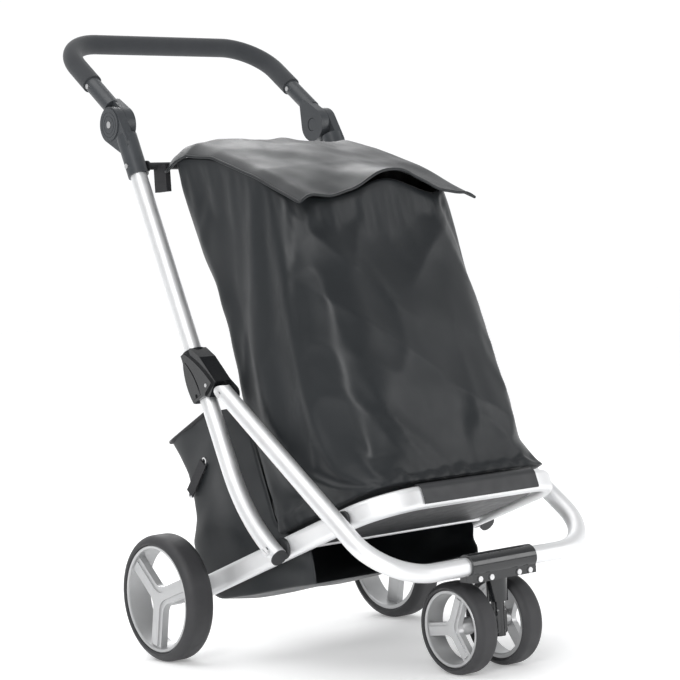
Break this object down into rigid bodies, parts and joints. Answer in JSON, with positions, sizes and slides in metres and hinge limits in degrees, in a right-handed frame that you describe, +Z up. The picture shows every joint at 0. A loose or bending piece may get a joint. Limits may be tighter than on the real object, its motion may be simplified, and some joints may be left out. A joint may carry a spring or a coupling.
{
  "type": "shopping trolley on wheels",
  "caption": "Folding shopping trolley with a tall soft bag, rear basket, spoked rear wheels, a swivelling twin front caster and a tilting foam-grip handle.",
  "frame": {"origin": "on the ground, under the middle of the whole trolley", "axes": "+Z up, +Y to the rear where the user walks, +X to the user's left when the user faces the front"},
  "size_m": [0.5148, 0.8298, 1.0232],
  "materials": {
    "aluminium": "satin anodised",
    "frame_plastic": "satin moulded",
    "gloss_black": "glossy moulded",
    "black_plastic": "fine grain",
    "steel": "zinc plated",
    "bag_fabric": "coated plain-weave polyester",
    "webbing": "ribbed webbing",
    "foam": "closed-cell foam, matte",
    "tyre": "matte",
    "rim_plastic": "silver-filled moulding"
  },
  "bodies": {
    "uprights": {"upright_left": "aluminium", "upright_right": "aluminium", "tube_end_plugs": "black_plastic", "handle_socket_left": "frame_plastic", "handle_socket_right": "frame_plastic", "hub_caps": "frame_plastic", "hub_bolts": "steel", "socket_screws": "steel", "bag_crossbar": "black_plastic", "webbing_tabs": "webbing", "bag_rear": "bag_fabric", "bag_front": "bag_fabric", "bag_floor": "bag_fabric", "bag_side_left": "bag_fabric", "bag_side_right": "bag_fabric", "basket_floor": "bag_fabric", "basket_front": "bag_fabric", "basket_rear": "bag_fabric", "basket_side_left": "bag_fabric", "basket_side_right": "bag_fabric", "strap_loops": "steel", "loop_strap": "webbing"},
    "bag_flap": {"bag_flap": "bag_fabric"},
    "base_frame": {"base_tube": "aluminium", "rear_axle": "steel", "axle_spacers": "black_plastic", "cross_rod": "aluminium", "base_panel": "black_plastic", "front_bar_cover": "black_plastic", "pivot_spacers": "black_plastic", "pivot_bolts": "steel"},
    "rear_wheel_left": {"rear_tyre_left": "tyre", "rear_rim_left": "rim_plastic", "rear_bush_left": "black_plastic"},
    "rear_wheel_right": {"rear_tyre_right": "tyre", "rear_rim_right": "rim_plastic", "rear_bush_right": "black_plastic"},
    "mid_joints": {"mid_joint_left": "gloss_black", "mid_joint_right": "gloss_black", "mid_rivets": "steel"},
    "front_frame": {"front_tube": "aluminium", "leg_plugs": "black_plastic", "leg_pins": "steel", "clamp_front": "gloss_black", "clamp_rear": "gloss_black", "clamp_screws": "steel", "swivel_housing": "gloss_black"},
    "caster_fork": {"caster_fork": "gloss_black", "caster_pin": "steel"},
    "caster_wheel_left": {"caster_tyre_left": "tyre", "caster_rim_left": "rim_plastic"},
    "caster_wheel_right": {"caster_tyre_right": "tyre", "caster_rim_right": "rim_plastic"},
    "handle": {"handle_arm_left": "frame_plastic", "handle_arm_right": "frame_plastic", "handle_bar": "aluminium", "foam_grip": "foam", "arm_rivets": "steel"},
    "handle_button_left": {"handle_button_left": "frame_plastic"},
    "handle_button_right": {"handle_button_right": "frame_plastic"}
  },
  "joints": [
    {"name": "base_fold", "type": "hinge", "parent": "uprights", "child": "base_frame", "pos_m": [0, -0.1292, 0.188], "axis": [-1, 0, 0], "range_deg": [0, 85], "deforming": ["bag_rear", "bag_front", "bag_floor", "bag_side_left", "bag_side_right", "basket_floor", "basket_front", "basket_rear", "basket_side_left", "basket_side_right", "strap_loops", "loop_strap"]},
    {"name": "rear_spin_left", "type": "hinge", "parent": "base_frame", "child": "rear_wheel_left", "pos_m": [-0.2328, 0.1288, 0.1], "axis": [1, 0, 0], "continuous": true},
    {"name": "rear_spin_right", "type": "hinge", "parent": "base_frame", "child": "rear_wheel_right", "pos_m": [0.2328, 0.1288, 0.1], "axis": [1, 0, 0], "continuous": true},
    {"name": "mid_slide", "type": "slide", "parent": "uprights", "child": "mid_joints", "axis": [0, 0.3987, 0.9171], "range_m": [0, 0.19216]},
    {"name": "front_fold", "type": "hinge", "parent": "mid_joints", "child": "front_frame", "pos_m": [0, -0.03122, 0.4204], "axis": [1, 0, 0], "range_deg": [0, 24.2]},
    {"name": "caster_swivel", "type": "hinge", "parent": "front_frame", "child": "caster_fork", "pos_m": [0, -0.3842, 0.104], "axis": [0, 0, 1], "continuous": true},
    {"name": "caster_spin_left", "type": "hinge", "parent": "caster_fork", "child": "caster_wheel_left", "pos_m": [-0.0444, -0.347, 0.0679], "axis": [1, 0, 0], "continuous": true},
    {"name": "caster_spin_right", "type": "hinge", "parent": "caster_fork", "child": "caster_wheel_right", "pos_m": [0.0444, -0.347, 0.0679], "axis": [1, 0, 0], "continuous": true},
    {"name": "handle_tilt", "type": "hinge", "parent": "uprights", "child": "handle", "pos_m": [0, 0.2258, 0.8537], "axis": [1, 0, 0], "range_deg": [-45, 105]},
    {"name": "button_push_left", "type": "slide", "parent": "handle", "child": "handle_button_left", "axis": [-1, 0, 0], "range_m": [0, 0.003], "stiffness_N_per_m": 400},
    {"name": "button_push_right", "type": "slide", "parent": "handle", "child": "handle_button_right", "axis": [1, 0, 0], "range_m": [0, 0.003], "stiffness_N_per_m": 400},
    {"name": "flap_lift", "type": "hinge", "parent": "uprights", "child": "bag_flap", "pos_m": [0, 0.1388, 0.797], "axis": [-1, 0, 0], "range_deg": [0, 110]}
  ],
  "couplings": [
    {"joint": "mid_slide", "follows": "base_fold", "m_per_rad": 0.12939},
    {"joint": "front_fold", "follows": "base_fold", "ratio": 0.28447}
  ]
}
